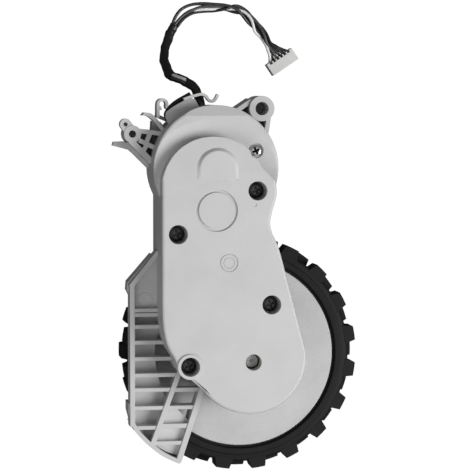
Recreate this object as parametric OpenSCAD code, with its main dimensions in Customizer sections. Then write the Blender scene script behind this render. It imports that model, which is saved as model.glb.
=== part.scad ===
// Drive wheel module of a robot vacuum, lying on its back: wheel, motor pot, gear train and leads.
// Origin: wheel axis on the table. X to the right, Y toward the motor, Z up to the gear cover.

/* [Tyre and rim] */
// Thickness of the rubber between the lugs
rubber_t = 5; // [4:0.1:5.6]
// Height of the lugs
lug_h = 2.3; // [1.5:0.1:3]
// Width of the tyre
tyre_w = 18; // [16:0.5:20]
// Lugs in one row
lug_count = 20; // [12:1:24]
// Share of the pitch that a lug takes at its root
lug_root = 0.56; // [0.4:0.02:0.7]
// Share of the pitch that a lug takes at its top
lug_top = 0.37; // [0.2:0.01:0.4]
// Radius of the rim
rim_r = 27.7; // [26:0.1:28.5]
// Wall of the rim barrel
rim_wall = 1.8; // [1.2:0.1:3]
// Thickness of the rim disc
disc_t = 1.6; // [1:0.1:3]

/* [Gearbox housing] */
// Wall of the housing
wall = 1.6; // [1.2:0.1:2]
// Gap between tyre and housing
tyre_gap = 1.5; // [1:0.1:3]
// Height of the rear shell above its back face
shell_h = 11.5; // [11:0.1:13]
// Free height over the first gear, which the screw recesses take
gear_room = 5; // [4.4:0.1:6]
// Drop from the plateau to the motor end of the cover
step_h = 3.8; // [3:0.1:4.2]
// Radius of the lower lobe of the cover
lobe_r = 16.5; // [16.2:0.1:17.5]
// Radius of the upper arc of the plateau
crown_r = 15.5; // [15:0.1:16]
// Radius of the rounded rim of the cover
rim_round = 0.7; // [0.3:0.1:1]

/* [Motor] */
// Radius of the motor can
can_r = 12; // [10:0.1:12.4]
// Length of the motor can
can_len = 12.4; // [10:0.1:14]
// Radius of the wide chamber at the motor
chamber_r = 18.2; // [17:0.1:19]
// Wall of the pot round the can
pot_wall = 1.6; // [1.2:0.1:2.2]
// Radius of the motor shaft
shaft_r = 1; // [0.8:0.1:1.2]

/* [Axle and pins] */
// Radius of the wheel axle
axle_r = 2.5; // [2:0.1:3]
// Radius of the journal in the cover
journal_r = 1.85; // [1.5:0.05:2.1]
// Radius of the hole in the cover over the axle
axle_hole_r = 2.35; // [2:0.05:2.6]
// Radius of the gear pins
pin_r = 1; // [0.8:0.1:1.2]
// Radial clearance of running fits
run_fit = 0.05; // [0.03:0.01:0.08]

/* [Screws] */
// Radius of the recess over each cover screw
recess_r = 2.75; // [2.5:0.05:3]
// Radius of a cover screw head
head_r = 2.3; // [2:0.05:2.4]
// Radius of the screw shanks
shank_r = 1.2; // [1:0.05:1.3]

/* [Mounting features] */
// Radius of the swing pivot bore
pivot_bore_r = 1.95; // [1.5:0.05:2.4]
// Radius of the swing pivot boss
pivot_boss_r = 3.7; // [3.2:0.1:4.4]
// Radius of the hole in the arm boss
arm_hole_r = 1.05; // [0.8:0.05:1.3]
// Radius of the arm boss
arm_boss_r = 2.5; // [2:0.1:3]
// Radius of the spring hole in the arm tab
spring_hole_r = 0.6; // [0.4:0.05:0.8]

/* [Lattice and skirt] */
// Thickness of the lattice ribs
rib_t = 1.3; // [0.9:0.1:1.6]
// Thickness of the lattice floors
floor_t = 1.4; // [1:0.1:2]

/* [Hidden] */
$fn = 64;
fit = 0.02;

// Levels above the table
back_z = tyre_w + tyre_gap;
floor_z = back_z + wall;
split_z = back_z + shell_h;
tread_r = rim_r + rubber_t;
tyre_r = tread_r + lug_h;

// Gear train: module, teeth of the small and the big gear, direction of the leg, face width
stage_mod = [0.4, 0.5, 0.6, 0.6];
small_teeth = [12, 16, 15, 17];
big_teeth = [48, 41, 34, 41];
leg_deg = [88, 97.5, 90.5, 120];
face_w = [2.2, 2.2, 2.5, 4];
function leg(i) = stage_mod[i] * (small_teeth[i] + big_teeth[i]) / 2 * [cos(leg_deg[i]), sin(leg_deg[i])];
axle_at = [0, 0];
third_at = axle_at + leg(3);
second_at = third_at + leg(2);
first_at = second_at + leg(1);
motor_at = first_at + leg(0);
gear_gap = 0.5;
gear_z3 = floor_z + 1.9;
gear_z2 = gear_z3 + face_w[3] + gear_gap;
gear_z1 = gear_z2 + face_w[2] + gear_gap;
gear_z0 = gear_z1 + face_w[1] + gear_gap;
ceiling_z = gear_z0 + face_w[0] + gear_room;
plate_z = ceiling_z + wall;
low_z = plate_z - step_h;
low_ceiling_z = low_z - wall - 0.1;

// Screws: the four in the plateau, then the small one beside the crown
screw_at = [[-21.8, 37.1], [1.2, 49.5], [5.3, 16.6], [-18.4, -1.0]];
small_at = [1.3, 60.9];
recess_floor_z = plate_z - 4.6;
pillar_r = shank_r + 1.2;
crown_at = [-11.4, 49.6];
lobe_at = [-1, 1.6];

// Mounting features in plan
pivot_at = [4.2, 73];
arm_at = [-33.7, 65.7];
tab_at = [-35.7, 68.5];
arm_z = back_z + 1;
lattice_z = split_z - 7;
rib_top_z = split_z - 0.2;
tab_t = 3.5;

function unit(v) = v / norm(v);
function arc(c, r, a, b, n) = [for (i = [0:n]) c + r * [cos(a + (b - a) * i / n), sin(a + (b - a) * i / n)]];
// Catmull-Rom point between p[i] and p[i + 1]
function curve_at(p, i, t) =
  let (a = p[max(i - 1, 0)], b = p[i], c = p[i + 1], d = p[min(i + 2, len(p) - 1)])
  0.5 * (2 * b + (c - a) * t + (2 * a - 5 * b + 4 * c - d) * t * t + (3 * b - a - 3 * c + d) * t * t * t);
function curve(p, n) = concat([for (i = [0:len(p) - 2]) for (k = [0:n - 1]) curve_at(p, i, k / n)], [p[len(p) - 1]]);
// Outline moved inward by d, point by point; the outline runs counterclockwise
function edge_normal(a, b) = unit([b.y - a.y, a.x - b.x]);
function inset(p, d) =
  let (n = len(p))
  [for (i = [0:n - 1])
    let (u = edge_normal(p[(i + n - 1) % n], p[i]), v = edge_normal(p[i], p[(i + 1) % n]))
    p[i] - d * (u + v) / (1 + u * v)];

// Outline of the gear plateau
right_side = [[15.4, 2.6], [13.6, 9.6], [9.7, 24.4], [7.3, 33.2], [5.4, 37.4], [4.9, 40.6], [5.7, 44.2], [6.8, 48.4], [6.4, 52.6]];
left_side = [[-26.5, 53.2], [-26.5, 40], [-26.5, 26], [-26.45, 12.7], [-25.2, 5.6], [-22.9, 1.2], [-21.6, -2.4], [-18.8, -4.3]];
plateau = concat(
  arc(lobe_at, lobe_r, 216, 352, 26),
  curve(right_side, 3),
  arc(crown_at, crown_r, 26, 164, 26),
  curve(left_side, 3)
);

module ring(r_out, r_in, h) {
  difference() {
    cylinder(r = r_out, h = h);
    translate([0, 0, -0.1]) cylinder(r = r_in, h = h + 0.2);
  }
}

// Straight rib in plan, from point to point
module bar(a, b, t) {
  d = b - a;
  translate(a) rotate(atan2(d.y, d.x)) translate([0, -t / 2]) square([norm(d), t]);
}

// Closed skin through outlines of equal length, one at each height
module loft(outlines, heights) {
  n = len(outlines[0]);
  m = len(outlines);
  polyhedron(
    points = [for (k = [0:m - 1]) for (p = outlines[k]) [p.x, p.y, heights[k]]],
    faces = concat(
      [[for (i = [0:n - 1]) i]],
      [for (k = [0:m - 2]) for (i = [0:n - 1])
        [k * n + i, (k + 1) * n + i, (k + 1) * n + (i + 1) % n, k * n + (i + 1) % n]],
      [[for (i = [n - 1:-1:0]) (m - 1) * n + i]]
    )
  );
}

// Tube along a route
module tube(route, r, sides = 8) {
  m = len(route);
  frames = [for (k = [0:m - 1])
    let (
      t = unit(route[min(k + 1, m - 1)] - route[max(k - 1, 0)]),
      s = unit(cross([0, 0, 1], t)),
      u = cross(t, s)
    )
    [s, u]];
  polyhedron(
    points = [for (k = [0:m - 1]) for (i = [0:sides - 1])
      route[k] + r * (cos(360 * i / sides) * frames[k][0] + sin(360 * i / sides) * frames[k][1])],
    faces = concat(
      [[for (i = [sides - 1:-1:0]) i]],
      [for (k = [0:m - 2]) for (i = [0:sides - 1])
        [k * sides + i, k * sides + (i + 1) % sides, (k + 1) * sides + (i + 1) % sides, (k + 1) * sides + i]],
      [[for (i = [0:sides - 1]) (m - 1) * sides + i]]
    )
  );
}

// Involute spur gear with backlash, first tooth at angle turn
function roll(rb, r) = r <= rb ? 0 : sqrt(r * r / (rb * rb) - 1) * 180 / PI - acos(rb / r);
module spur(m, teeth, w, turn = 0) {
  pr = m * teeth / 2;
  rb = pr * cos(20);
  ra = pr + 0.92 * m;
  rf = pr - 1.25 * m;
  r0 = max(rf + 0.05 * m, rb);
  half = 90 / teeth - 3 / pr + roll(rb, pr);
  radii = [r0, (r0 + pr) / 2, pr, (pr + ra) / 2, ra];
  points = [for (k = [0:teeth - 1])
    let (c = turn + 360 * k / teeth, gap = 180 / teeth)
    each concat(
      [rf * [cos(c - gap * 0.9), sin(c - gap * 0.9)]],
      [for (r = radii) r * [cos(c - half + roll(rb, r)), sin(c - half + roll(rb, r))]],
      [for (i = [4:-1:0]) radii[i] * [cos(c + half - roll(rb, radii[i])), sin(c + half - roll(rb, radii[i]))]],
      [rf * [cos(c + gap * 0.9), sin(c + gap * 0.9)]]
    )];
  linear_extrude(w) polygon(points);
}

// Turn of a gear so that a tooth meets the gap of its mate: i is the stage, seen from the small gear's centre
function small_turn(i) = leg_deg[i] + 180;
function big_turn(i) = leg_deg[i] + 180 / big_teeth[i];

module compound(i) {
  // big gear of stage i, small gear of stage i + 1
  big_z = [gear_z0, gear_z1, gear_z2][i];
  small_z = [gear_z1, gear_z2, gear_z3][i];
  difference() {
    union() {
      translate([0, 0, big_z]) spur(stage_mod[i], big_teeth[i], face_w[i], big_turn(i));
      translate([0, 0, small_z]) spur(stage_mod[i + 1], small_teeth[i + 1], big_z - small_z + 0.2, small_turn(i + 1));
    }
    translate([0, 0, small_z - 1]) cylinder(r = pin_r + run_fit, h = 20);
    // turned recess in the web of the big gear
    translate([0, 0, big_z + face_w[i] - 0.6])
      ring(stage_mod[i] * big_teeth[i] / 2 - 1.6, pin_r + 2, 1);
  }
}

module gear_one() {
  color("ivory") translate(first_at) compound(0);
}

module gear_two() {
  color("ivory") translate(second_at) compound(1);
}

module gear_three() {
  color("ivory") translate(third_at) compound(2);
}

module output_gear() {
  color("ivory") difference() {
    union() {
      translate([0, 0, gear_z3]) spur(stage_mod[3], big_teeth[3], face_w[3], big_turn(3));
      translate([0, 0, gear_z3]) cylinder(r = axle_r + 2, h = face_w[3] + 1.4);
    }
    translate([0, 0, gear_z3 - 1]) cylinder(r = axle_r + fit, h = face_w[3] + 4);
    translate([0, 0, gear_z3 + face_w[3] - 0.8])
      ring(stage_mod[3] * big_teeth[3] / 2 - 2, axle_r + 2.6, 1);
  }
}

// Tyre: body of revolution and two rows of lugs, half a pitch apart
lug_pitch = 360 / lug_count;
module lug_row(z0, h, turn) {
  root = tread_r - 0.8;
  for (k = [0:lug_count - 1])
    rotate([0, 0, turn + k * lug_pitch])
      translate([0, 0, z0]) linear_extrude(h)
        polygon([
          root * [cos(lug_pitch * lug_root / 2), -sin(lug_pitch * lug_root / 2)],
          tyre_r * [cos(lug_pitch * lug_top / 2), -sin(lug_pitch * lug_top / 2)],
          tyre_r * [1, 0],
          tyre_r * [cos(lug_pitch * lug_top / 2), sin(lug_pitch * lug_top / 2)],
          root * [cos(lug_pitch * lug_root / 2), sin(lug_pitch * lug_root / 2)]
        ]);
}

module tyre() {
  color("dimgray") {
    rotate_extrude($fn = 120) polygon([
      [rim_r + fit, 0.9], [rim_r + 1, 0.9], [rim_r + 1.2, 0], [tread_r - 2, 0], [tread_r - 0.6, 0.4],
      [tread_r, 1.4], [tread_r, tyre_w - 1.4], [tread_r - 0.6, tyre_w - 0.8], [tread_r - 2.1, tyre_w - 0.5],
      [tread_r - 2.2, tyre_w - 0.1], [tread_r - 2.5, tyre_w], [rim_r + 1.2, tyre_w], [rim_r + 0.9, tyre_w - 0.1],
      [rim_r + 0.8, tyre_w - 1.1], [rim_r + fit, tyre_w - 1.1]
    ]);
    lug_row(tyre_w / 2 + 0.2, tyre_w / 2 - 0.9, lug_pitch / 2);
    lug_row(0.7, tyre_w / 2 - 0.9, 0);
  }
}

module wheel_rim() {
  hub_r = axle_r + 3.6;
  color("gainsboro") difference() {
    union() {
      rotate_extrude($fn = 120) polygon([
        [axle_r + fit, 5.4], [hub_r, 5.4], [hub_r, tyre_w - 0.4 - disc_t], [rim_r - rim_wall, tyre_w - 0.4 - disc_t],
        [rim_r - rim_wall, 0.9], [rim_r, 0.9], [rim_r, tyre_w - 0.6], [rim_r - 0.2, tyre_w - 0.4],
        [hub_r + 0.6, tyre_w - 0.4], [hub_r, tyre_w + 0.3], [axle_r + fit, tyre_w + 0.3]
      ]);
      for (k = [0:5])
        rotate([0, 0, 30 + 60 * k])
          translate([hub_r - 0.3, -0.7, 5.4])
            cube([rim_r - rim_wall - hub_r + 0.6, 1.4, tyre_w - 0.5 - disc_t - 5.4]);
    }
  }
}

module hub_cap() {
  color("lightgray") rotate_extrude($fn = 120) polygon([
    [0, 0], [5.6, 0], [6.2, 0.4], [6.8, 1.4], [rim_r - rim_wall - 3.4, 1.4], [rim_r - rim_wall - 2.6, 0.8],
    [rim_r - rim_wall - fit, 0.8], [rim_r - rim_wall - fit, 5.2], [rim_r - rim_wall - 1.2, 5.2],
    [rim_r - rim_wall - 1.2, 2.8], [0, 2.8]
  ]);
}

module axle_screw() {
  color("silver") {
    translate([0, 0, 3.6]) cylinder(r = 2.4, h = 1.2);
    translate([0, 0, 4.8]) cylinder(r = axle_r + 1.6, h = 0.6);
    translate([0, 0, 4.8]) cylinder(r = 1.2 - fit, h = 5);
  }
}

module wheel_axle() {
  color("silver") difference() {
    union() {
      translate([0, 0, 5.5]) cylinder(r = axle_r, h = gear_z3 + face_w[3] + 1.4 - 5.5);
      translate([0, 0, gear_z3]) cylinder(r = journal_r, h = plate_z - 4.1 - gear_z3);
      translate([0, 0, gear_z3 + face_w[3] + 1.42]) cylinder(r = axle_r + 0.6, h = 0.8);
    }
    translate([0, 0, 5]) cylinder(r = 1.2, h = 6);
    translate([0, 0, plate_z - 4.5]) cylinder(r1 = 0.3, r2 = 0.7, h = 0.5);
  }
}

bearing_r = axle_r + 2.6;
bearing_h = 3;
module axle_bearing() {
  color("silver") translate([0, 0, back_z + 0.2])
    rotate_extrude() polygon([
      [axle_r + fit, 0], [bearing_r - 0.9, 0], [bearing_r - 0.9, 0.15], [bearing_r, 0.15],
      [bearing_r, bearing_h - 0.15], [bearing_r - 0.9, bearing_h - 0.15], [bearing_r - 0.9, bearing_h],
      [axle_r + fit, bearing_h]
    ]);
}

bush_r = journal_r + 1.1;
bush_h = 3.4;
bush_z = plate_z - 4.6 - bush_h;
module axle_bush() {
  color("goldenrod") translate([0, 0, bush_z]) ring(bush_r, journal_r + run_fit, bush_h);
}

// Feet of the gear pins: seats in the shell and in the cover
pin_seat = 0.8;
pin_top_z = ceiling_z + 0.6;
module gear_pins() {
  color("silver")
    for (p = [first_at, second_at, third_at])
      translate([p.x, p.y, floor_z - pin_seat]) cylinder(r = pin_r, h = pin_top_z - floor_z + pin_seat);
}

// Motor: can hangs under the shell floor, shaft up through it
can_top_z = back_z - 0.02;
can_z = can_top_z - can_len;
cap_h = 1.6;
module motor_can() {
  color("silver") translate(motor_at) difference() {
    union() {
      translate([0, 0, can_z]) cylinder(r = can_r, h = can_len);
      translate([0, 0, can_z]) cylinder(r = 3, h = can_len + 1.5);
    }
    translate([0, 0, can_z - 0.1]) cylinder(r = can_r - 0.8, h = can_len - 1);
    translate([0, 0, can_z]) cylinder(r = shaft_r + run_fit, h = can_len + 5);
    for (s = [-1, 1]) translate([8 * s, 0, can_z]) cylinder(r = 0.9, h = can_len + 1);
  }
}

module motor_end_cap() {
  color("black") translate(motor_at) difference() {
    union() {
      translate([0, 0, can_z - cap_h]) cylinder(r = can_r, h = cap_h - 0.02);
      translate([0, 0, can_z - 0.1]) cylinder(r = can_r - 0.8 - fit, h = 1.6);
      translate([0, 0, can_z - cap_h - 0.6]) cylinder(r = 3.2, h = 1);
    }
    translate([0, 0, can_z - 5]) cylinder(r = shaft_r + run_fit, h = 10);
  }
}

module motor_rotor() {
  color("slategray") translate(motor_at) {
    translate([0, 0, can_z - cap_h - 3]) cylinder(r = shaft_r, h = gear_z0 + face_w[0] + 0.4 - can_z + cap_h + 3);
    difference() {
      translate([0, 0, can_z + 2.4]) cylinder(r = 6.5, h = can_len - 5.6);
      for (k = [0:2]) rotate([0, 0, 120 * k]) translate([6.2, 0, can_z]) cylinder(r = 1.2, h = can_len);
    }
  }
}

module motor_pinion() {
  color("goldenrod") translate(motor_at) translate([0, 0, gear_z0 - 0.2]) difference() {
    spur(stage_mod[0], small_teeth[0], face_w[0] + 0.4, small_turn(0));
    translate([0, 0, -1]) cylinder(r = shaft_r + fit, h = 6);
  }
}

module encoder_magnet() {
  color("dimgray") translate(motor_at) translate([0, 0, can_z - cap_h - 2.9]) ring(3.4, shaft_r + fit, 1.9);
}

board_t = 1;
board_z = can_z - cap_h - 3.2 - board_t;
module encoder_board() {
  color("seagreen") translate(motor_at) {
    translate([0, 0, board_z]) ring(can_r, 1.6, board_t);
    // sensor chip and two brush terminals
    translate([3.8, -1.2, board_z + board_t]) cube([2.6, 2.4, 1.2]);
    for (s = [-1, 1]) translate([-0.4, 8 * s - 1, board_z + board_t]) cube([0.8, 2, 3.18]);
    translate([-9.6, -2.2, board_z - 0.3]) cube([2.4, 4.4, 0.4]);
  }
}

module motor_screws() {
  color("silver") translate(motor_at)
    for (s = [-1, 1]) translate([8 * s, 0, 0]) {
      translate([0, 0, floor_z + fit]) cylinder(r = 1.7, h = 1);
      translate([0, 0, can_top_z - 1.4]) cylinder(r = 0.88, h = wall + 1.6);
    }
}

// Pan head with a cross recess on a shank
module pan_screw(r_head, h_head, r_shank, len_shank) {
  difference() {
    union() {
      rotate_extrude() polygon([
        [0, 0], [r_head, 0], [r_head, h_head * 0.45], [r_head * 0.86, h_head * 0.8], [r_head * 0.6, h_head], [0, h_head]
      ]);
      translate([0, 0, -len_shank]) cylinder(r = r_shank, h = len_shank + 0.1);
    }
    for (a = [0, 90]) rotate([0, 0, a + 20])
      translate([-r_head * 0.52, -r_head * 0.13, h_head * 0.45]) cube([r_head * 1.04, r_head * 0.26, h_head]);
  }
}

module cover_screws() {
  color("black")
    for (p = screw_at)
      translate([p.x, p.y, recess_floor_z + fit]) pan_screw(head_r, 1.5, shank_r, recess_floor_z - split_z + 5);
}

small_floor_z = low_z - 1.2;
small_shank_r = 0.95;
module small_screw() {
  color("silver") translate([small_at.x, small_at.y, small_floor_z + fit])
    pan_screw(1.7, 1, small_shank_r, small_floor_z - split_z + 3);
}

// Swing arm with its lattice, hook and spring tab
module arm() {
  translate([0, 0, lattice_z]) linear_extrude(rib_top_z - lattice_z) {
    translate(arm_at) circle(r = arm_boss_r);
    bar([-31.9, 66.6], [-24.6, 65.7], rib_t);
    bar([-31.8, 63.9], [-26.4, 61.3], rib_t);
    bar([-28.6, 65.9], [-29.6, 63.4], rib_t);
    bar([-29.7, 62.3], [-30.9, 60.2], rib_t);
    bar([-34.3, 63.9], [-28.1, 57.6], rib_t + 0.4);
  }
  // tab that takes the spring end
  translate([0, 0, split_z - tab_t]) linear_extrude(tab_t - 0.35) {
    translate(tab_at) circle(r = 1.65);
    bar(arm_at, tab_at, 3.3);
  }
  // floor that closes the pockets, and the hook blade under the lattice
  translate([0, 0, arm_z]) linear_extrude(floor_t) {
    polygon([[-24, 66.4], [-31.9, 67.2], [-34.4, 66.6], [-36, 64.6], [-32.7, 59.7], [-27.6, 54.6]]);
  }
  translate([0, 0, arm_z + 0.2]) linear_extrude(lattice_z - arm_z) {
    polygon([[-38.6, 63.3], [-38.9, 62.2], [-34.1, 60.9], [-32.7, 59.7], [-28.3, 55.4], [-27.3, 56.6], [-33.4, 62.4], [-35.6, 63.4]]);
    translate(arm_at) circle(r = arm_boss_r - 0.1);
  }
}

// Second curved finger beside the motor chamber, on its gusset
module finger() {
  path = curve([[-30.2, 71.9], [-28.3, 71.6], [-26.4, 69.9], [-24.1, 66.8]], 4);
  translate([0, 0, split_z - 6]) linear_extrude(6 - 0.4)
    polygon(concat(path, [for (i = [len(path) - 1:-1:0]) path[i] - [0.75, 0.85]]));
  translate([0, 0, split_z - 9]) linear_extrude(5)
    polygon([[-27.6, 69.4], [-25.2, 69.2], [-23.6, 67.2], [-24.6, 65.4], [-27.8, 66.2]]);
}

// Open clip that guides the branch leads, on a stem from the motor chamber
module lead_clip() {
  translate([0, 0, split_z - 5]) linear_extrude(5 - 0.4) difference() {
    union() {
      translate([-24.9, 74.3]) circle(r = 1.7);
      bar([-26.2, 74], [-26.2, 70.4], 0.9);
    }
    translate([-24.9, 74.3]) circle(r = 0.9);
    translate([-24.9, 74.3]) rotate(-75) translate([0, -0.6]) square([3, 1.2]);
  }
  translate([0, 0, split_z - 6]) linear_extrude(1.8) bar([-26.6, 71.1], [-22.6, 69.4], 1);
}

// Flange over the cable trough, at the edge of the motor chamber
module trough_flange() {
  translate([0, 0, split_z - 2.2]) linear_extrude(2.2 - 0.1)
    polygon(concat(
      arc(motor_at, flange_r, 107, 130, 10),
      [motor_at + (flange_r - 0.8) * [cos(133), sin(133)]],
      arc(motor_at, chamber_r - 0.8, 137, 102, 8),
      [motor_at + (flange_r - 0.8) * [cos(104.5), sin(104.5)]]
    ));
}

// Pivot boss with its webs
module pivot() {
  translate([pivot_at.x, pivot_at.y, back_z]) cylinder(r = pivot_boss_r, h = shell_h - 0.1);
  translate([0, 0, back_z + 0.1]) linear_extrude(shell_h - 0.9) {
    bar([-3.4, 72.2], [1.4, 75.4], rib_t);
    bar([6.4, 70.6], [5.4, 64.6], rib_t);
  }
  translate([0, 0, back_z + 0.05]) linear_extrude(floor_t)
    polygon([[-3.6, 72], [1.2, 75], [4, 74], [6.4, 70.8], [5.6, 64.4], [-4, 68]]);
}

// Ribbed skirt beside the tyre
skirt_z = back_z + 1.4;
skirt_floor_z = split_z - 6.5;
skirt_y = [14.4, 13.1, 9.6, 5, 0.2, -4.6, -8.9, -14.2, -20];
skirt_end = [-25.6, -25.6, -25.4, -24, -21.6, -20.2, -21.8, -23.8, -26.2];
skirt_edge = curve([[-34.5, -18.6], [-33, -21.2], [-30.6, -23.9], [-28.3, -26], [-24.8, -28.6], [-20.2, -30.8]], 3);
module skirt_rim() {
  polygon(concat(skirt_edge, [for (i = [len(skirt_edge) - 1:-1:0]) skirt_edge[i] * (1 - 1.2 / norm(skirt_edge[i]))]));
}

module skirt() {
  t = rib_t + 0.1;
  // edges that stand highest
  translate([0, 0, skirt_floor_z + 0.2]) linear_extrude(rib_top_z - skirt_floor_z - 0.2) {
    bar([-26.2, 31.4], [-34.3, 21.3], t);
    bar([-33.9, 22], [-33.9, -19.6], t);
    bar([-20, -3.4], [-28.3, -25.6], t);
    bar([-13.1, -7.8], [-20.4, -30.2], t + 0.2);
    skirt_rim();
  }
  // rungs
  translate([0, 0, skirt_floor_z + 0.3]) linear_extrude(rib_top_z - skirt_floor_z - 0.6) {
    for (i = [0:8]) bar([-33.6, skirt_y[i]], [skirt_end[i], skirt_y[i]], rib_t - 0.2);
    bar([-23.4, -14.2], [-15.2, -14.2], rib_t - 0.2);
    bar([-26, -19.6], [-17, -19.6], rib_t);
    bar([-27.8, -24.6], [-18.8, -24.6], rib_t - 0.2);
  }
  translate([0, 0, skirt_floor_z + 0.3]) linear_extrude(rib_top_z - skirt_floor_z - 1.9)
    bar([-21.4, -9.2], [-13.8, -9.2], rib_t - 0.1);
  // tray in the upper corner and the raised floor in the lower one
  translate([0, 0, split_z - 3.4]) linear_extrude(floor_t)
    polygon([[-25, 30.9], [-27.2, 30.4], [-34, 21.6], [-34, 13.8], [-25, 13.8]]);
  translate([0, 0, split_z - 3.7]) linear_extrude(floor_t)
    polygon([[-23.2, -14.4], [-21, -14.4], [-16.6, -19], [-19.6, -28.9], [-23.8, -27.45], [-27.6, -25.2]]);
  // web floor under the rungs
  translate([0, 0, skirt_floor_z]) linear_extrude(floor_t) polygon([
    [-34, 14.2], [-25.4, 14.2], [-25.4, 7.8], [-26.7, 4.6], [-26.8, -0.2], [-26, -4.8], [-24.8, -9.4], [-22.6, -14.4],
    [-27.86, -25.3], [-30.13, -23.5], [-32.5, -20.85], [-33.9, -18.5]
  ]);
  // skirts that drop from the upper corner, the lower edge and the last stringer
  translate([0, 0, skirt_z]) linear_extrude(6)
    polygon([[-27.8, 30.6], [-34.9, 22.4], [-35.1, 20], [-33.8, 17.4], [-33, 17.4], [-33, 21.4], [-26.6, 29.2]]);
  translate([0, 0, skirt_z + 0.1]) linear_extrude(skirt_floor_z + 0.5 - skirt_z) {
    skirt_rim();
    bar([-15.6, -15.6], [-20.2, -29.8], t);
  }
  translate([0, 0, skirt_z + 0.05]) linear_extrude(split_z - 1.5 - skirt_z)
    polygon([[-35, -12.8], [-35, -15.4], [-34.2, -18.4], [-33.4, -19.4], [-33.4, -12.8]]);
}

module chamber_plan(d) {
  polygon(inset(plateau, d));
  translate(motor_at) circle(r = chamber_r - d, $fn = 120);
}

pot_r = can_r + 0.3 + pot_wall;
module rear_shell() {
  color("darkgray") difference() {
    union() {
      difference() {
        translate([0, 0, back_z]) linear_extrude(shell_h) chamber_plan(0);
        translate([0, 0, floor_z]) linear_extrude(shell_h) chamber_plan(wall);
      }
      // pot round the motor, open at the table end
      translate([motor_at.x, motor_at.y, 0]) cylinder(r = pot_r, h = back_z + 0.1);
      // bearing seat, pin feet and screw pillars
      translate([0, 0, back_z - 0.8]) cylinder(r = bearing_r + 1.6, h = 0.9);
      translate([0, 0, floor_z - 0.1]) cylinder(r = bearing_r + 1.6, h = bearing_h + 0.2 - wall + 0.1);
      foot(first_at, gear_z1 - 0.3, pin_r + 1.3);
      foot(second_at, gear_z2 - 0.3, pin_r + 1.3);
      foot(third_at, gear_z3 - 0.3, pin_r + 1.3);
      for (p = screw_at) foot(p, split_z, pillar_r);
      foot(small_at, split_z, 2);
      arm();
      finger();
      lead_clip();
      trough_flange();
      pivot();
      skirt();
    }
    // bearing bore with its lip
    translate([0, 0, back_z + 0.2]) cylinder(r = bearing_r + fit, h = 8);
    translate([0, 0, back_z - 2]) cylinder(r = axle_r + 1, h = 5);
    for (p = [first_at, second_at, third_at])
      translate([p.x, p.y, floor_z - pin_seat]) cylinder(r = pin_r + fit, h = 20);
    for (p = screw_at) translate([p.x, p.y, split_z - 7]) cylinder(r = shank_r + fit, h = 8);
    translate([small_at.x, small_at.y, split_z - 5]) cylinder(r = small_shank_r + fit, h = 6);
    // motor seat, its centring hole and screw holes
    translate([motor_at.x, motor_at.y, -1]) cylinder(r = can_r + 0.2, h = back_z + 1);
    translate([motor_at.x, motor_at.y, back_z - 1]) cylinder(r = 3 + fit, h = 4);
    for (s = [-1, 1]) translate([motor_at.x + 8 * s, motor_at.y, back_z - 1]) cylinder(r = 0.95, h = 4);
    // mounting bores
    translate([pivot_at.x, pivot_at.y, floor_z]) cylinder(r = pivot_bore_r, h = 20);
    translate([arm_at.x, arm_at.y, lattice_z + 1]) cylinder(r = arm_hole_r, h = 20);
    translate([tab_at.x, tab_at.y, split_z - tab_t + 0.6]) cylinder(r = spring_hole_r, h = 20);
    // mouth for the cable sleeve
    translate([-13.1, 74.6, split_z - 4.5]) rotate([90, 0, 0]) cylinder(r = 1.7, h = 4);
  }
}

module foot(p, top, r) {
  translate([p.x, p.y, floor_z - 0.1]) cylinder(r = r, h = top - floor_z + 0.1);
}

module hang(p, bottom, r) {
  translate([p.x, p.y, bottom]) cylinder(r = r, h = ceiling_z - bottom + 0.1);
}

crown_drop = 1.4;
module front_cover() {
  color("lightgray") difference() {
    union() {
      difference() {
        union() {
          motor_end();
          raised_plate();
        }
        hollow();
      }
      hang(first_at, gear_z0 + face_w[0] + 0.3, pin_r + 1.3);
      hang(second_at, gear_z1 + face_w[1] + 0.3, pin_r + 1.3);
      hang(third_at, gear_z2 + face_w[2] + 0.3, pin_r + 1.3);
      hang(axle_at, bush_z - 0.2, bush_r + 1.4);
      for (p = screw_at) {
        hang(p, split_z + fit, pillar_r);
        hang(p, recess_floor_z - wall, recess_r + 0.7);
      }
      translate([small_at.x, small_at.y, split_z + fit]) cylinder(r = 2, h = low_ceiling_z - split_z + 0.3);
      // proud ring round the screw at the lower corner
      translate([screw_at[3].x, screw_at[3].y, plate_z - 1]) cylinder(r = recess_r + 0.9, h = 1.5);
      motor_bump();
    }
    for (p = screw_at) {
      translate([p.x, p.y, recess_floor_z]) cylinder(r = recess_r, h = 6);
      translate([p.x, p.y, split_z - 1]) cylinder(r = shank_r + 0.15, h = 12);
    }
    translate([small_at.x, small_at.y, small_floor_z]) cylinder(r = 2.2, h = 6);
    translate([small_at.x, small_at.y, split_z - 1]) cylinder(r = 1.1, h = 12);
    for (p = [first_at, second_at, third_at])
      translate([p.x, p.y, floor_z]) cylinder(r = pin_r + fit, h = pin_top_z + fit - floor_z);
    // bush seat and hole over the axle
    translate([0, 0, bush_z - 1]) cylinder(r = bush_r + fit, h = bush_h + 1);
    translate([0, 0, bush_z]) cylinder(r = axle_hole_r, h = 10);
    // grooves round the first gear pin and the gate mark
    translate([first_at.x, first_at.y, plate_z - 0.5]) ring(6.05, 5.2, 1);
    translate([-7.2, 28.9, plate_z - 0.2]) ring(2.65, 2.35, 1);
    translate([-7.2, 28.9, plate_z - 0.1]) ring(1.65, 1.45, 1);
    translate([0.4, 45.5, plate_z - 0.15]) cylinder(r = 0.5, h = 1);
  }
}

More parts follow.
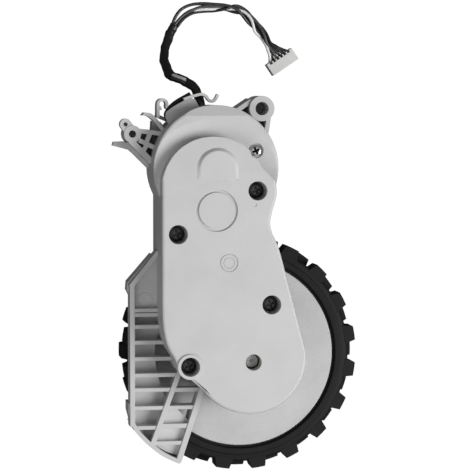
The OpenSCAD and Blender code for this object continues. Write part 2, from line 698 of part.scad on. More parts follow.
// Low end of the cover over the motor chamber
module motor_end() {
  difference() {
    translate([motor_at.x, motor_at.y, split_z + fit]) rotate_extrude($fn = 120) polygon([
      [0, 0], [chamber_r, 0], [chamber_r, low_z - split_z - rim_round], [chamber_r - 0.3 * rim_round, low_z - split_z - 0.3 * rim_round],
      [chamber_r - rim_round, low_z - split_z], [0, low_z - split_z]
    ]);
    // dished toward the plateau
    translate([crown_at.x, crown_at.y, 0]) rotate_extrude($fn = 120) polygon([
      [crown_r - 1, low_z - 0.8], [crown_r + 0.4, low_z - 0.8], [crown_r + 5.4, low_z + 0.1], [crown_r - 1, low_z + 0.1]
    ]);
    // flat slope at the far edge
    translate([motor_at.x - 20, motor_at.y + chamber_r - 3, low_z]) rotate([-22, 0, 0]) cube([40, 12, 5]);
  }
}

// Raised plate over the gears, sloping down toward the crown
module raised_plate() {
  difference() {
    loft(
      [plateau, plateau, inset(plateau, rim_round * 0.3), inset(plateau, rim_round)],
      [split_z + fit, plate_z - rim_round, plate_z - rim_round * 0.3, plate_z]
    );
    translate([-50, crown_at.y + 1.5, plate_z]) rotate([-2, 0, 0]) cube([100, 30, 8]);
    translate([-50, crown_at.y + 5.5, plate_z - 0.14]) rotate([-4.5, 0, 0]) cube([100, 30, 8]);
  }
}

// Bump over the motor shaft
module motor_bump() {
  bottom = plate_z - 1.3;
  translate([motor_at.x, motor_at.y, bottom]) rotate_extrude() polygon([[0, -2], [6.5, -2], [6.5, 0], [5.1, 1.28], [0, 1.28]]);
  translate([motor_at.x, motor_at.y, bottom]) rotate([90, 0, 0]) linear_extrude(5)
    polygon([[-6.5, -2], [6.5, -2], [6.5, 0], [5.1, 1.28], [-5.1, 1.28], [-6.5, 0]]);
}

module hollow() {
  translate([0, 0, split_z - 1]) linear_extrude(low_ceiling_z - split_z + 1) chamber_plan(wall);
  intersection() {
    translate([0, 0, split_z]) linear_extrude(ceiling_z - split_z) polygon(inset(plateau, wall));
    translate([-50, -30, 0]) cube([100, 30 + crown_at.y + 2, ceiling_z]);
  }
}

// Leads, clip and connector
flange_r = chamber_r + 2.9;
clip_t = 0.8;
module cable_clip() {
  path = curve(concat(
    arc(motor_at, flange_r + fit + clip_t / 2, 113, 104, 3),
    [[-13.4, 77.2], [-12.2, 76.6], [-11.5, 75.6], [-10.5, 75.1], [-9.5, 75.6], [-8.7, 77.1]]
  ), 4);
  n = len(path);
  side = [for (i = [0:n - 1]) clip_t / 2 * edge_normal(path[max(i - 1, 0)], path[min(i + 1, n - 1)])];
  color("white") translate([0, 0, split_z - 2.6]) linear_extrude(2.6)
    polygon(concat([for (i = [0:n - 1]) path[i] + side[i]], [for (i = [n - 1:-1:0]) path[i] - side[i]]));
}

sleeve_r = 1.45;
sleeve_route = [
  [-13.1, 72.5, 26.5], [-13.4, 74.4, 26.5], [-14, 77, 26], [-14.8, 79.4, 24.2], [-16.6, 81.4, 21.2],
  [-18.9, 83, 17], [-20.7, 84.9, 12.6], [-21.5, 87.4, 8.6], [-21.1, 90.5, 5.2], [-20, 93.5, 2.8],
  [-18.8, 96.2, 1.8], [-18, 97.8, 1.6]
];
module cable_sleeve() {
  color("black") tube(curve(sleeve_route, 2), sleeve_r);
}

bundle_r = 1.4;
bundle_route = [
  [-18, 97.8, 1.6], [-16.7, 100.2, 1.6], [-13.7, 102.7, 1.6], [-10, 103.7, 1.6], [-6.4, 103.5, 1.6],
  [-3, 103.1, 1.6], [0.7, 102.7, 1.6], [3.7, 101.2, 1.6], [5.9, 98.6, 1.6], [7.7, 95.9, 1.6],
  [9.5, 93.4, 1.7], [11.6, 91.3, 1.9], [12.98, 89.84, 2], [13.82, 88.59, 2]
];
module wire_bundle() {
  color("dimgray") tube(curve(bundle_route, 2), bundle_r);
}

branch_r = 0.7;
branch_route = [for (p = [
  [-22.6, 69.4, 3.4], [-23.2, 70.1, 3.4], [-23.6, 71.2, 3.4], [-23.1, 72.4, 3.4], [-22, 73.7, 3.4],
  [-20.2, 75.1, 3.5], [-18, 76.3, 3.7], [-16.4, 77.2, 3.8]
]) [p.x, p.y, split_z - p.z]];
module branch_leads() {
  color("black") tube(curve(branch_route, 2), branch_r);
}

plug_at = [14.9, 87, 0];
plug_deg = 34;
pin_pitch = 1.25;
module plug() {
  color("white") translate(plug_at) rotate([0, 0, plug_deg]) difference() {
    translate([-4.6, -2, 0]) cube([9.2, 3.9, 4]);
    // contact openings, and the open lead side
    for (k = [0:5]) translate([pin_pitch * (k - 2.5) - 0.4, -2.1, 1.2]) cube([0.8, 2.4, 1.6]);
    for (k = [0:5]) translate([pin_pitch * (k - 2.5) - 0.45, 1.2, 1]) cube([0.9, 1, 4]);
  }
}

tyre();
wheel_rim();
hub_cap();
axle_screw();
wheel_axle();
output_gear();
axle_bearing();
axle_bush();
gear_three();
gear_two();
gear_one();
gear_pins();
motor_pinion();
motor_rotor();
motor_can();
motor_end_cap();
encoder_magnet();
encoder_board();
motor_screws();
rear_shell();
front_cover();
cover_screws();
small_screw();
branch_leads();
cable_clip();
cable_sleeve();
wire_bundle();
plug();
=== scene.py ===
import bpy
import math
from mathutils import Matrix, Vector


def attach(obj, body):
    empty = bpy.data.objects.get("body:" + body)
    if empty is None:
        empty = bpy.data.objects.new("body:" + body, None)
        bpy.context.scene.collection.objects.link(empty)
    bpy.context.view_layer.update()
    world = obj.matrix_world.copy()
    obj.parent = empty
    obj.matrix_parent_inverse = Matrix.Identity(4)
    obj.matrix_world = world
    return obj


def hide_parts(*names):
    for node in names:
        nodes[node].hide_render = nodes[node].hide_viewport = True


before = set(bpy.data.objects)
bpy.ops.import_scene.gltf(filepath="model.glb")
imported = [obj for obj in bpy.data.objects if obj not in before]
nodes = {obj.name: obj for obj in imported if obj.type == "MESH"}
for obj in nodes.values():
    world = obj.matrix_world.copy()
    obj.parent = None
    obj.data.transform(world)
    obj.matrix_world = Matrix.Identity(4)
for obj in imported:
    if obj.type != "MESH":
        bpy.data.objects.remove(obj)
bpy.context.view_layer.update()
print("frame loaded:", len(nodes), "nodes")

mm = 0.001


# ---- camera ----
camera = {
    "target": (1.2 * mm, 34.1 * mm, -2.0 * mm),
    "toward": (-0.149, 0.0622, 0.9869),  # from the target to the lens, a little left of straight above
    "distance": 0.7,
    "lens": 175.0,
}


def placeCamera(settings):
    data = bpy.data.cameras.new("camera")
    data.lens = settings["lens"]
    data.sensor_width = 36.0
    data.clip_start = 0.01
    back = Vector(settings["toward"]).normalized()
    right = Vector((0, 1, 0)).cross(back).normalized()
    up = back.cross(right)
    turned = Matrix((right, up, back)).transposed().to_4x4()
    turned.translation = Vector(settings["target"]) + back * settings["distance"]
    obj = bpy.data.objects.new("camera", data)
    obj.matrix_world = turned
    bpy.context.collection.objects.link(obj)
    bpy.context.scene.camera = obj


placeCamera(camera)
print("camera placed")


# ---- nodes and colours ----
def linear(hexColour):
    values = [int(hexColour[i:i + 2], 16) / 255 for i in (1, 3, 5)]
    values = [v / 12.92 if v <= 0.04045 else ((v + 0.055) / 1.055) ** 2.4 for v in values]
    return (*values, 1.0)


def addNode(tree, kind, settings=None, inputs=None):
    # inputs: socket name or number -> a value, or an output socket to link
    node = tree.nodes.new(kind)
    for key, value in (settings or {}).items():
        setattr(node, key, value)
    for key, value in (inputs or {}).items():
        if isinstance(value, bpy.types.NodeSocket):
            tree.links.new(value, node.inputs[key])
        else:
            node.inputs[key].default_value = value
    return node


def newMaterial(name):
    mat = bpy.data.materials.new(name)
    mat.use_nodes = True
    tree = mat.node_tree
    tree.nodes.clear()
    return mat, tree


def ramp(tree, factor, stops):
    node = addNode(tree, "ShaderNodeValToRGB", inputs={"Fac": factor})
    elements = node.color_ramp.elements
    while len(elements) < len(stops):
        elements.new(0.5)
    for element, (place, colour) in zip(elements, stops):
        element.position = place
        element.color = colour
    return node.outputs["Color"]


def noise(tree, where, sizeMm, detail):
    return addNode(tree, "ShaderNodeTexNoise", inputs={
        "Vector": where, "Scale": 1 / (sizeMm * mm), "Detail": detail})


# ---- materials ----
def mouldedAbs(name, colour, paler, grainMm, grainDepth, roughness, edgeMm=0.16):
    # ABS from a textured steel tool: an even satin grey, fine spark-eroded grain, softly rounded edges
    mat, tree = newMaterial(name)
    where = addNode(tree, "ShaderNodeTexCoord").outputs["Object"]
    grain = noise(tree, where, grainMm, 3.0)
    cloud = noise(tree, where, 9, 4.0)
    grainTone = addNode(tree, "ShaderNodeMath", {"operation": "MULTIPLY_ADD"},
                        {0: grain.outputs["Fac"], 1: 0.45, 2: 0.0})
    mixedTone = addNode(tree, "ShaderNodeMath", {"operation": "MULTIPLY_ADD"},
                        {0: cloud.outputs["Fac"], 1: 0.5, 2: grainTone.outputs[0]})
    base = ramp(tree, mixedTone.outputs[0], [(0.3, linear(colour)), (0.65, linear(paler))])
    soft = addNode(tree, "ShaderNodeBevel", {"samples": 6}, {"Radius": edgeMm * mm})
    bump = addNode(tree, "ShaderNodeBump", inputs={
        "Height": grain.outputs["Fac"], "Strength": 0.5, "Distance": grainDepth * mm,
        "Normal": soft.outputs[0]})
    rough = addNode(tree, "ShaderNodeMapRange", inputs={
        "Value": cloud.outputs["Fac"], "From Min": 0.3, "From Max": 0.7,
        "To Min": roughness - 0.05, "To Max": roughness + 0.07})
    shader = addNode(tree, "ShaderNodeBsdfPrincipled", inputs={
        "Base Color": base, "Roughness": rough.outputs[0], "IOR": 1.53, "Normal": bump.outputs[0]})
    addNode(tree, "ShaderNodeOutputMaterial", inputs={"Surface": shader.outputs[0]})
    return mat


def tyreRubber(name, colour, dusty):
    # moulded natural rubber compound: almost black, matt, with a little grey bloom in the pores
    mat, tree = newMaterial(name)
    where = addNode(tree, "ShaderNodeTexCoord").outputs["Object"]
    grain = noise(tree, where, 0.35, 5.0)
    bloom = noise(tree, where, 6, 5.0)
    base = ramp(tree, bloom.outputs["Fac"], [(0.35, linear(colour)), (0.75, linear(dusty))])
    soft = addNode(tree, "ShaderNodeBevel", {"samples": 6}, {"Radius": 0.3 * mm})
    bump = addNode(tree, "ShaderNodeBump", inputs={
        "Height": grain.outputs["Fac"], "Strength": 0.6, "Distance": 0.03 * mm, "Normal": soft.outputs[0]})
    shader = addNode(tree, "ShaderNodeBsdfPrincipled", inputs={
        "Base Color": base, "Roughness": 0.62, "IOR": 1.52, "Specular IOR Level": 0.22,
        "Normal": bump.outputs[0]})
    addNode(tree, "ShaderNodeOutputMaterial", inputs={"Surface": shader.outputs[0]})
    return mat


def recessShadeMask(tree, where, cross):
    # 1 inside a drive cross centred at (x, y), turned by degrees, with arms of halfWidth and reach; it masks the
    # painted shade of the drive recess
    x, y, degrees, halfWidth, reach = cross
    turned = addNode(tree, "ShaderNodeMapping", {"vector_type": "TEXTURE"}, {
        "Vector": where, "Location": (x * mm, y * mm, 0), "Rotation": (0, 0, math.radians(degrees))})
    parts = addNode(tree, "ShaderNodeSeparateXYZ", inputs={0: turned.outputs[0]})
    across = addNode(tree, "ShaderNodeMath", {"operation": "ABSOLUTE"}, {0: parts.outputs[0]}).outputs[0]
    along = addNode(tree, "ShaderNodeMath", {"operation": "ABSOLUTE"}, {0: parts.outputs[1]}).outputs[0]
    thin = addNode(tree, "ShaderNodeMath", {"operation": "MINIMUM"}, {0: across, 1: along}).outputs[0]
    far = addNode(tree, "ShaderNodeMath", {"operation": "MAXIMUM"}, {0: across, 1: along}).outputs[0]
    inArm = addNode(tree, "ShaderNodeMath", {"operation": "LESS_THAN"}, {0: thin, 1: halfWidth * mm}).outputs[0]
    inReach = addNode(tree, "ShaderNodeMath", {"operation": "LESS_THAN"}, {0: far, 1: reach * mm}).outputs[0]
    return addNode(tree, "ShaderNodeMath", {"operation": "MULTIPLY"}, {0: inArm, 1: inReach}).outputs[0]


def metal(name, colour, darker, roughness, grainMm=0.4, stretch=(1, 1, 1), cross=None):
    # bare or plated metal: the grain of its last cut shows as fine streaks in the gloss
    mat, tree = newMaterial(name)
    where = addNode(tree, "ShaderNodeTexCoord").outputs["Object"]
    turned = addNode(tree, "ShaderNodeMapping", inputs={"Vector": where, "Scale": stretch})
    grain = noise(tree, turned.outputs[0], grainMm, 3.0)
    base = ramp(tree, grain.outputs["Fac"], [(0.35, linear(darker)), (0.65, linear(colour))])
    rough = addNode(tree, "ShaderNodeMapRange", inputs={
        "Value": grain.outputs["Fac"], "To Min": roughness * 0.7, "To Max": roughness * 1.3})
    if cross:
        # painted shade: the drive recess is darkened in the colour, standing in for the shade at its bottom
        base = addNode(tree, "ShaderNodeMix", {"data_type": "RGBA"}, {
            0: recessShadeMask(tree, where, cross), 6: base, 7: linear("#1c1c1d")}).outputs[2]
    soft = addNode(tree, "ShaderNodeBevel", {"samples": 4}, {"Radius": 0.08 * mm})
    shader = addNode(tree, "ShaderNodeBsdfPrincipled", inputs={
        "Base Color": base, "Metallic": 1.0, "Roughness": rough.outputs[0], "Normal": soft.outputs[0]})
    addNode(tree, "ShaderNodeOutputMaterial", inputs={"Surface": shader.outputs[0]})
    return mat


def smoothPlastic(name, colour, paler, roughness, ior=1.5, grainMm=0.6, depth=0.006):
    # polymer from a polished tool or an extruder: close, even colour and a soft gloss
    mat, tree = newMaterial(name)
    where = addNode(tree, "ShaderNodeTexCoord").outputs["Object"]
    grain = noise(tree, where, grainMm, 4.0)
    base = ramp(tree, grain.outputs["Fac"], [(0.35, linear(colour)), (0.65, linear(paler))])
    soft = addNode(tree, "ShaderNodeBevel", {"samples": 4}, {"Radius": 0.1 * mm})
    bump = addNode(tree, "ShaderNodeBump", inputs={
        "Height": grain.outputs["Fac"], "Strength": 0.5, "Distance": depth * mm, "Normal": soft.outputs[0]})
    shader = addNode(tree, "ShaderNodeBsdfPrincipled", inputs={
        "Base Color": base, "Roughness": roughness, "IOR": ior, "Normal": bump.outputs[0]})
    addNode(tree, "ShaderNodeOutputMaterial", inputs={"Surface": shader.outputs[0]})
    return mat


finishes = {
    "coverAbs": mouldedAbs("coverAbs", "#bcbdbc", "#c6c7c6", 0.16, 0.012, 0.5),
    "shellAbs": mouldedAbs("shellAbs", "#babbba", "#c6c7c6", 0.2, 0.01, 0.48, 0.2),
    "rimAbs": mouldedAbs("rimAbs", "#abacab", "#bfc0bf", 0.3, 0.05, 0.52, 0.25),
    "rubber": tyreRubber("tyreRubber", "#08080a", "#101011"),
    "groundSteel": metal("groundSteel", "#c9c9c7", "#a9a9a8", 0.28, 0.2, (1, 1, 8)),
    "zincSteel": metal("zincPlatedSteel", "#c2c3c4", "#a5a6a8", 0.34, 0.5),
    "nickelSteel": metal("nickelPlatedSteel", "#d2d2d0", "#b9b9b7", 0.2, 0.3),
    # the drive cross on the small screw's head gets painted shade
    "platedHead": metal(
        "platedScrewHead", "#dededc", "#bdbdbb", 0.3, 0.3, cross=(1.3, 60.9, 25, 0.32, 1.15)),
    "blackSteel": smoothPlastic("blackOxideSteel", "#060606", "#0c0c0d", 0.42, 1.6),
    "bronze": metal("oiledBronze", "#5a4630", "#3a2c1c", 0.5, 0.15),
    "brass": metal("machinedBrass", "#c9a65c", "#a88645", 0.3, 0.2),
    "acetal": smoothPlastic("acetalGear", "#dad8cf", "#e6e4dc", 0.36, 1.48),
    "blackPlastic": smoothPlastic("blackNylon", "#141415", "#202021", 0.45),
    "ferrite": smoothPlastic("ferriteMagnet", "#2a2a2c", "#3a3a3c", 0.5),
    "board": smoothPlastic("solderMask", "#15482c", "#1c5a38", 0.35),
    "whiteNylon": smoothPlastic("whiteNylon", "#cdcdca", "#d8d8d6", 0.38, 1.53),
    "sleevePvc": smoothPlastic("blackPvcSleeve", "#070707", "#0f0f10", 0.4, 1.54, 1.2, 0.05),
    "blackWire": smoothPlastic("blackWirePvc", "#0a0a0b", "#121213", 0.4, 1.54),
    "greyWire": smoothPlastic("greyWirePvc", "#3a3a3c", "#4a4a4c", 0.38, 1.54),
    "midWire": smoothPlastic("slateWirePvc", "#26282c", "#34363a", 0.38, 1.54),
    "whiteWire": smoothPlastic("whiteWirePvc", "#e2e2df", "#ececea", 0.4, 1.54),
}

nodeFinish = {
    "tyre": "rubber", "wheel_rim": "rimAbs", "hub_cap": "rimAbs", "axle_screw": "groundSteel",
    "wheel_axle": "groundSteel", "output_gear": "acetal", "axle_bearing": "groundSteel", "axle_bush": "bronze",
    "gear_three": "acetal", "gear_two": "acetal", "gear_one": "acetal", "gear_pins": "groundSteel",
    "motor_pinion": "brass", "motor_rotor": "zincSteel", "motor_can": "zincSteel", "motor_end_cap": "blackPlastic",
    "encoder_magnet": "ferrite", "encoder_board": "board", "motor_screws": "nickelSteel", "rear_shell": "shellAbs",
    "front_cover": "coverAbs", "cover_screws": "blackSteel", "small_screw": "platedHead",
    "branch_leads": "blackWire", "cable_clip": "whiteNylon", "cable_sleeve": "sleevePvc",
    "wire_bundle": "greyWire", "plug": "whiteNylon",
}
for nodeName, finishName in nodeFinish.items():
    data = nodes[nodeName].data
    data.materials.clear()
    data.materials.append(finishes[finishName])
print("finishes given to", len(nodeFinish), "nodes")


# ---- curves in space ----
def curveThrough(points, steps):
    # Catmull-Rom through given points
    points = [Vector(p) * mm for p in points]
    out = []
    for i in range(len(points) - 1):
        a, b, c, d = points[max(i - 1, 0)], points[i], points[i + 1], points[min(i + 2, len(points) - 1)]
        for k in range(steps):
            t = k / steps
            bend = (2 * a - 5 * b + 4 * c - d) * t * t
            out.append(0.5 * (2 * b + (c - a) * t + bend + (3 * b - a - 3 * c + d) * t ** 3))
    out.append(points[-1])
    return out


def framesAlong(path):
    # side and up vectors at each point, turned as little as possible
    found = []
    side = None
    for i, point in enumerate(path):
        tangent = (path[min(i + 1, len(path) - 1)] - path[max(i - 1, 0)]).normalized()
        if side is None:
            side = Vector((0, 0, 1)).cross(tangent).normalized()
        side = (side - tangent * side.dot(tangent)).normalized()
        found.append((side, tangent.cross(side)))
    return found


class Skin:
    # gathers tubes of one mesh
    def __init__(self):
        self.points, self.faces, self.slots = [], [], []

    def tube(self, path, radius, sides, slot, isOpen=None):
        # isOpen(i, k) leaves a face out, for a slit
        first = len(self.points)
        sized = radius if callable(radius) else (lambda i, a: radius)
        for i, (point, (side, up)) in enumerate(zip(path, framesAlong(path))):
            for k in range(sides):
                a = 2 * math.pi * k / sides
                self.points.append(point + (side * math.cos(a) + up * math.sin(a)) * sized(i, a))
        for i in range(len(path) - 1):
            for k in range(sides):
                if isOpen and isOpen(i, k):
                    continue
                a, b = first + i * sides + k, first + i * sides + (k + 1) % sides
                self.faces.append((a, b, b + sides, a + sides))
                self.slots.append(slot)
        for start in (first, first + (len(path) - 1) * sides):
            ring = [start + k for k in range(sides)]
            self.faces.append(tuple(reversed(ring)) if start == first else tuple(ring))
            self.slots.append(slot)

    def build(self, name, materials):
        mesh = bpy.data.meshes.new(name)
        mesh.from_pydata([tuple(p) for p in self.points], [], self.faces)
        for mat in materials:
            mesh.materials.append(mat)
        for polygon, slot in zip(mesh.polygons, self.slots):
            polygon.material_index = slot
            polygon.use_smooth = True
        mesh.update()
        obj = bpy.data.objects.new(name, mesh)
        bpy.context.collection.objects.link(obj)
        return obj


# ---- harness: sleeve, then six loose wires into the plug ----
harness = {
    "sleeveRoute": [
        (-13.1, 72.5, 26.5), (-13.4, 74.4, 26.5), (-14, 77.1, 26), (-15.1, 79.3, 24.3), (-17.1, 80.9, 21.5),
        (-19.3, 82, 18), (-20.7, 82.9, 15.3), (-21.6, 85.5, 11.2), (-21.8, 88, 7.8), (-21, 91.1, 4.7),
        (-19.8, 94.1, 2.6), (-18.8, 96.3, 1.8), (-17.8, 97.9, 1.6)],
    "bundleRoute": [
        (-17.8, 97.9, 1.6), (-16.6, 99.9, 1.6), (-14.9, 101.6, 1.6), (-12.5, 102.8, 1.6), (-9.4, 103.4, 1.6),
        (-5.8, 103.3, 1.6), (-2.4, 103.1, 1.6), (0.7, 102.8, 1.6), (3.4, 101.4, 1.6), (5.6, 99.4, 1.6),
        (7.7, 97.1, 1.6), (9.4, 94.9, 1.6), (10.8, 92.4, 1.7), (12.4, 90.3, 1.9), (13.82, 88.59, 2)],
    "sleeveRadius": 1.42,
    "wireRadius": 0.46,
    "pinPitch": 1.25,
    "plugAlong": (math.cos(math.radians(34)), math.sin(math.radians(34)), 0),
    "slit": (22, 32),  # rings between which the sleeve gapes
    "slitWires": ((-0.4, 1.3, 4), (0.5, 1.15, 2)),  # sideways, upward, material slot
    "kinkRing": 36,
    "slotOfSleeve": 0,
    "slots": ("sleevePvc", "blackWire", "greyWire", "midWire", "whiteWire"),
    # each wire: material slot, then its offset outward and up from the middle, at each route point but the last
    "lanes": [
        (4, [(-0.2, 0), (-0.4, 0), (-0.5, 0.1), (-0.6, 0.4), (-0.7, 0.9), (-0.5, 0.8), (-0.2, 0.5),
             (0, 0.5), (0.5, 0.8), (0, 1.3), (-1.4, 0.7), (-1.0, -0.2), (-0.9, 0.8), (-1.7, 0.8)]),
        (1, [(-0.9, 0.4), (-1.1, 0.5), (-1.2, 0.6), (-1.2, 0.6), (-1.3, 0.4), (-1.0, 0.7), (-0.2, 1.4),
             (1.1, 0.7), (1.2, 0.3), (0.8, -0.3), (0.2, -0.5), (-0.5, 0), (-0.7, 0), (-1.1, 0.2)]),
        (2, [(0.1, 0.8), (-0.2, 0.9), (-0.4, 0.9), (-0.3, 0.9), (0.1, 0.8), (0.4, 0.7), (0.5, 0.6),
             (0.6, 0.5), (0.8, 0.6), (0.9, 0.8), (0.7, 1.1), (0.1, 1.3), (-0.4, 0.9), (-0.4, 0.5)]),
        (3, [(0.8, 0.2), (1.1, 0.6), (1.4, 0.4), (1.35, 0.3), (1.1, 0.6), (1.0, 0.8), (0.9, 1.0),
             (0.2, 1.4), (-0.8, 1.0), (-1.1, 0.3), (-0.6, -0.3), (0, -0.2), (0.1, 0.1), (0.35, 0.3)]),
        (1, [(0.7, -0.4), (1.1, -0.3), (1.4, -0.4), (1.35, -0.5), (1.0, -0.3), (0.4, -0.2), (-0.3, -0.1),
             (-0.9, 0), (0, 0.2), (0.5, 0.3), (1.0, 0.2), (1.0, 0.3), (0.7, 0.6), (1.05, 0.5)]),
        (3, [(-0.2, -0.6), (-0.4, -0.6), (-0.4, -0.6), (-0.3, -0.6), (-0.2, -0.6), (0.2, -0.7), (0.6, -0.7),
             (0.4, -0.7), (-0.5, -0.6), (-0.2, -0.5), (0.3, -0.7), (0.8, -0.5), (0.8, -0.4), (1.7, 0.1)]),
    ],
}


def makeHarness(spec):
    steps = 6
    sleevePath = curveThrough(spec["sleeveRoute"], steps)
    bundlePath = curveThrough(spec["bundleRoute"], steps)
    sleeveFrames = framesAlong(sleevePath)
    skin = Skin()
    sides = 28
    first, last = spec["slit"]

    def sleeveRadius(i, a):
        # slack sleeve: creased all along, with a corner pushed out where it kinks
        crease = 0.08 * math.sin(i * 0.7 + 3 * a) + 0.05 * math.sin(i * 1.4 + 2 * a)
        crease += 0.05 * math.sin(i * 0.33)
        corner = 0.4 * math.exp(-((i - spec["kinkRing"]) / 2.2) ** 2) * max(0.0, math.cos(a))
        return (spec["sleeveRadius"] - 0.06 + crease * min(1, i / 12) + corner) * mm

    def slitOpen(i, k):
        if not first <= i < last:
            return False
        side, up = sleeveFrames[i]
        upward = math.atan2(up.z - 0.15 * up.x, side.z - 0.15 * side.x)
        toward = upward - 2 * math.pi * (k + 0.5) / sides
        reach = 1.15 * math.sin(math.pi * (i - first + 0.5) / (last - first)) ** 0.6
        return abs(math.remainder(toward, 2 * math.pi)) < reach

    skin.tube(sleevePath, sleeveRadius, sides, spec["slotOfSleeve"], slitOpen)
    # a white and a grey wire bulge out of the slit
    reachOut = range(first - 3, last + 3)
    for side, lift, slot in spec["slitWires"]:
        lane = []
        for n, i in enumerate(reachOut):
            rise = lift * max(0.0, math.sin(math.pi * n / (len(reachOut) - 1))) ** 0.5 - 0.1
            tangent = (sleevePath[i + 1] - sleevePath[i - 1]).normalized()
            across = Vector(camera["toward"]).cross(tangent).normalized()
            lane.append(sleevePath[i] + (across * side + tangent.cross(across) * rise) * mm)
        skin.tube(lane, spec["wireRadius"] * mm, 12, slot)
    along = Vector(spec["plugAlong"])
    for w, (slot, offsets) in enumerate(spec["lanes"]):
        outward = curveThrough([(u, v, 0) for u, v in offsets], steps)
        path = []
        for i, (point, (side, up)) in enumerate(zip(bundlePath, framesAlong(bundlePath))):
            pin = along * (w - 2.5) * spec["pinPitch"] * mm
            offset = outward[min(i, len(outward) - 1)]
            fan = max(0.0, (i - len(outward) + 1) / (len(bundlePath) - len(outward)))
            path.append(point + (side * offset.x + up * offset.y) * (1 - fan) + pin * fan)
        skin.tube(path, spec["wireRadius"] * mm, 12, slot)
    piece = skin.build("harness", [finishes[n] for n in spec["slots"]])
    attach(piece, "housing")
    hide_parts("cable_sleeve", "wire_bundle")


makeHarness(harness)


# ---- moulded relief on the cover and the shell ----
crest = {
    "centre": (-10.27, 55.89),
    "foot": 52.6,  # its top is flush with the plate here
    # radius, then the share of the way from plate to top, or a depth in mm below the plate
    "rings": [
        (6.0, -0.5), (6.0, 0.0), (5.85, 0.08), (5.6, 0.38), (5.3, 0.8), (5.15, 0.95), (5.0, 1.0), (4.7, 1.0)],
    "flatTop": 42.0,
    "rise": 0.05,  # its top climbs toward the motor end while the plate falls
}


def plateHeight(y):
    if y < 51.1:
        return 42.0
    if y < 55.1:
        return 42.0 - math.tan(math.radians(2)) * (y - 51.1)
    return 41.86 - math.tan(math.radians(4.5)) * (y - 55.1)


def solidFromLoops(name, loops, material, body, smooth=True):
    # skin over closed loops of equal length, with both ends capped
    count = len(loops[0])
    points = [p for loop in loops for p in loop]
    faces = []
    for n in range(len(loops) - 1):
        for k in range(count):
            a, b = n * count + k, n * count + (k + 1) % count
            faces.append((a, b, b + count, a + count))
    faces.append(tuple(reversed(range(count))))
    faces.append(tuple(range(len(points) - count, len(points))))
    mesh = bpy.data.meshes.new(name)
    mesh.from_pydata([(x * mm, y * mm, z * mm) for x, y, z in points], [], faces)
    mesh.materials.append(material)
    for polygon in mesh.polygons:
        polygon.use_smooth = smooth and len(polygon.vertices) == 4
    mesh.update()
    obj = bpy.data.objects.new(name, mesh)
    bpy.context.collection.objects.link(obj)
    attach(obj, body)
    return obj


def makeCrest(spec):
    cx, cy = spec["centre"]
    loops = []
    for radius, share in spec["rings"]:
        # right side up, round the arch, left side down: counterclockwise from above
        plan = [(cx + radius, spec["foot"] + (cy - spec["foot"]) * k / 6) for k in range(6)]
        plan += [(cx + radius * math.cos(math.pi * k / 44), cy + radius * math.sin(math.pi * k / 44))
                 for k in range(45)]
        plan += [(cx - radius, cy - (cy - spec["foot"]) * (k + 1) / 6) for k in range(6)]
        loop = []
        for x, y in plan:
            low, high = plateHeight(y), spec["flatTop"] + spec["rise"] * (y - spec["foot"])
            loop.append((x, y, low + (high - low) * share if share > 0 else low + share))
        loops.append(loop)
    solidFromLoops("shaft_crest", loops, finishes["coverAbs"], "housing")


ejectorMark = {
    "at": (-30.0, 17.35, 29.0),
    "radius": 2.1,
    "halfWidth": 0.12,
    "proud": 0.05,
    "sunk": 0.1,
}


def makeEjectorMark(spec):
    # shallow ring where an ejector pin met the moulding
    x, y, z = spec["at"]
    outer, inner = spec["radius"] + spec["halfWidth"], spec["radius"] - spec["halfWidth"]
    turns = [math.tau * k / 48 for k in range(48)]
    loops = []
    for r, rise in ((outer, -spec["sunk"]), (outer, spec["proud"]), (inner, spec["proud"]), (inner, -spec["sunk"])):
        loops.append([(x + r * math.cos(t), y + r * math.sin(t), z + rise) for t in turns])
    solidFromLoops("ejector_mark_tray", loops, finishes["shellAbs"], "housing", smooth=False)


makeCrest(crest)
makeEjectorMark(ejectorMark)
print("relief made")


# ---- lights and backdrop ----
studio = {
    "floorSize": 3.0,
    "floorLevel": -0.0002,  # just under the lowest point of the module
    "floorGrey": "#5a5a5a",
    "shadowShare": 0.06,  # how much of the floor's own shading the camera sees
    "world": 0.24,
    "key": {"at": (0.5, -0.08, 0.6), "size": 0.5, "power": 5.2},
    "fill": {"at": (-0.3, -0.4, 0.7), "size": 0.7, "power": 2.0},
}


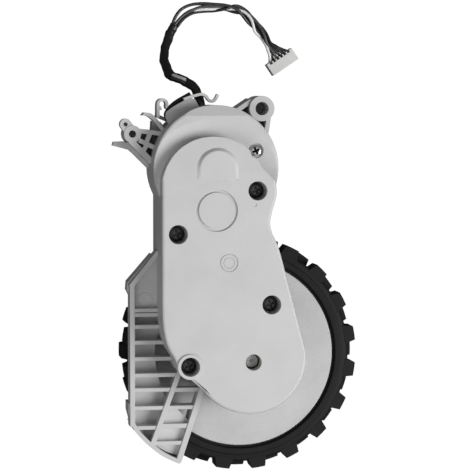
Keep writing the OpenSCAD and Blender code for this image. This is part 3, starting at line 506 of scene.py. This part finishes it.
def backdrop(spec):
    mat, tree = newMaterial("paperBackdrop")
    rays = addNode(tree, "ShaderNodeLightPath")
    share = addNode(tree, "ShaderNodeMath", {"operation": "MULTIPLY"}, {
        0: rays.outputs["Is Camera Ray"], 1: 1 - spec["shadowShare"]})
    paper = addNode(tree, "ShaderNodeBsdfDiffuse", inputs={"Color": linear(spec["floorGrey"])})
    glow = addNode(tree, "ShaderNodeEmission", inputs={"Color": (1, 1, 1, 1), "Strength": 1.08})
    mixed = addNode(tree, "ShaderNodeMixShader", inputs={
        0: share.outputs[0], 1: paper.outputs[0], 2: glow.outputs[0]})
    addNode(tree, "ShaderNodeOutputMaterial", inputs={"Surface": mixed.outputs[0]})
    half = spec["floorSize"] / 2
    mesh = bpy.data.meshes.new("floor")
    corners = [(-half, -half, 0), (half, -half, 0), (half, half, 0), (-half, half, 0)]
    mesh.from_pydata(corners, [], [(0, 1, 2, 3)])
    mesh.materials.append(mat)
    floor = bpy.data.objects.new("floor", mesh)
    floor.location.z = spec["floorLevel"]
    bpy.context.collection.objects.link(floor)


def lamp(name, spec, aim=(0, 0.03, 0.02)):
    data = bpy.data.lights.new(name, "AREA")
    data.shape = "DISK"
    data.size = spec["size"]
    data.energy = spec["power"]
    obj = bpy.data.objects.new(name, data)
    obj.location = spec["at"]
    obj.rotation_euler = (Vector(aim) - Vector(spec["at"])).to_track_quat("-Z", "Y").to_euler()
    bpy.context.collection.objects.link(obj)


def lightWorld(strength):
    world = bpy.data.worlds.new("studioWorld")
    bpy.context.scene.world = world
    world.use_nodes = True
    tree = world.node_tree
    tree.nodes.clear()
    rays = addNode(tree, "ShaderNodeLightPath")
    level = addNode(tree, "ShaderNodeMapRange", inputs={
        "Value": rays.outputs["Is Camera Ray"], "To Min": strength, "To Max": 1.0})
    sky = addNode(tree, "ShaderNodeBackground", inputs={"Color": (1, 1, 1, 1), "Strength": level.outputs[0]})
    addNode(tree, "ShaderNodeOutputWorld", inputs={"Surface": sky.outputs[0]})


backdrop(studio)
lamp("keyLamp", studio["key"])
lamp("fillLamp", studio["fill"])
lightWorld(studio["world"])
bpy.context.scene.view_settings.view_transform = "Standard"
print("studio lit")
